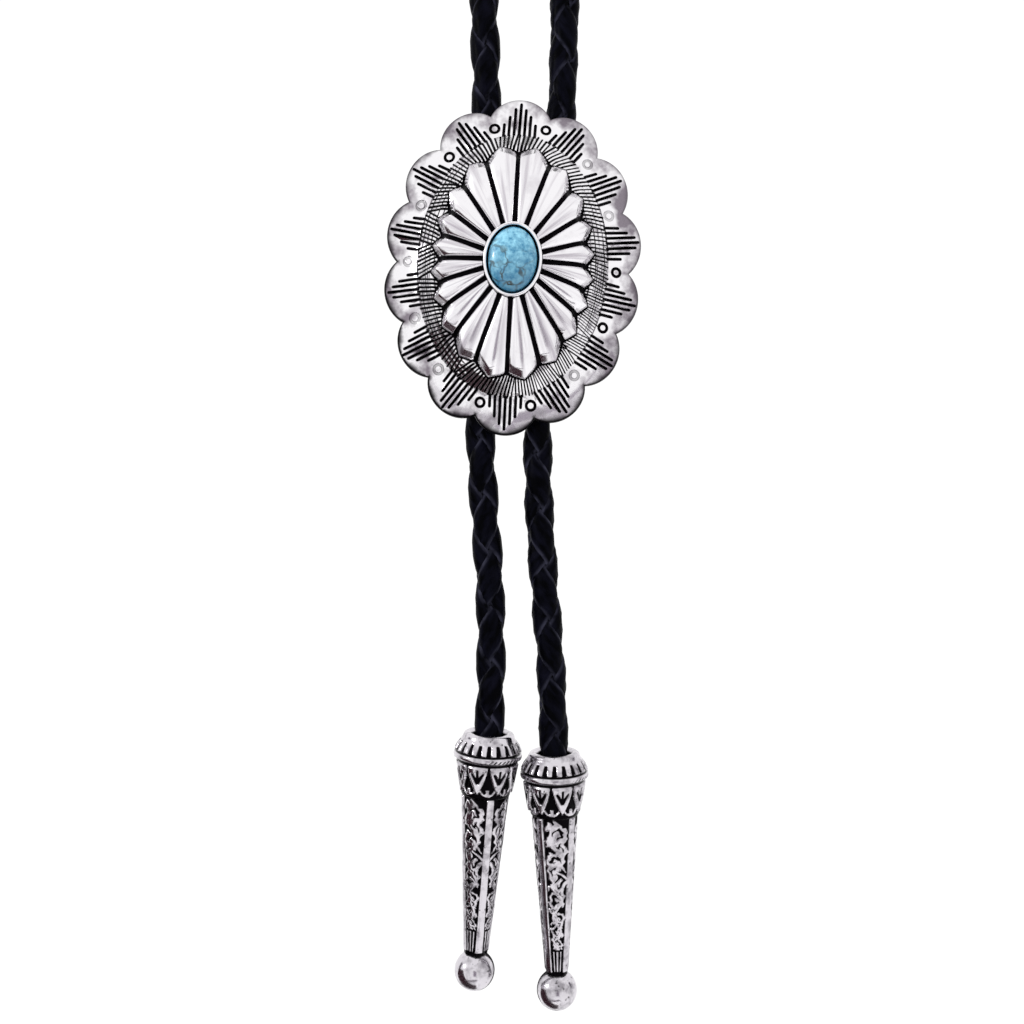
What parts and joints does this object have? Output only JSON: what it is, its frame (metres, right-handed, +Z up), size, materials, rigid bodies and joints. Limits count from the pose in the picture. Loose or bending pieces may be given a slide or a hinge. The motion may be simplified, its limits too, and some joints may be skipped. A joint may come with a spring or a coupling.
{
  "type": "bolo tie",
  "caption": "Braided leather cord necktie held by a scalloped silver slide with a turquoise stone, with cast metal tips on the cord's free ends.",
  "frame": {"origin": "inner face of the cord at the nape, in the middle of the loop's back", "axes": "+Z up as worn, -Y the way the slide faces, +X to the right as seen from the front"},
  "size_m": [0.1298, 0.1462, 0.3829],
  "materials": {
    "polished_silver": "polished silver plate, stamped lines blackened",
    "antiqued_silver": "cast silver-plated metal, recesses blackened, high parts polished",
    "clip_steel": "plain plated spring steel",
    "cord_leather": "black braided leather lace, lightly waxed",
    "turquoise": "polished turquoise with dark matrix veins"
  },
  "bodies": {
    "cord": {"neck_loop": "cord_leather", "cord_end_left": "cord_leather", "cord_end_right": "cord_leather", "tip_left": "antiqued_silver", "tip_right": "antiqued_silver"},
    "slide": {"concho": "polished_silver", "stone": "turquoise", "slide_clip": "clip_steel"}
  },
  "joints": [
    {"name": "slide_on_cord", "type": "slide", "parent": "cord", "child": "slide", "axis": [0, 0, 1], "range_m": [-0.048, 0.06]}
  ]
}
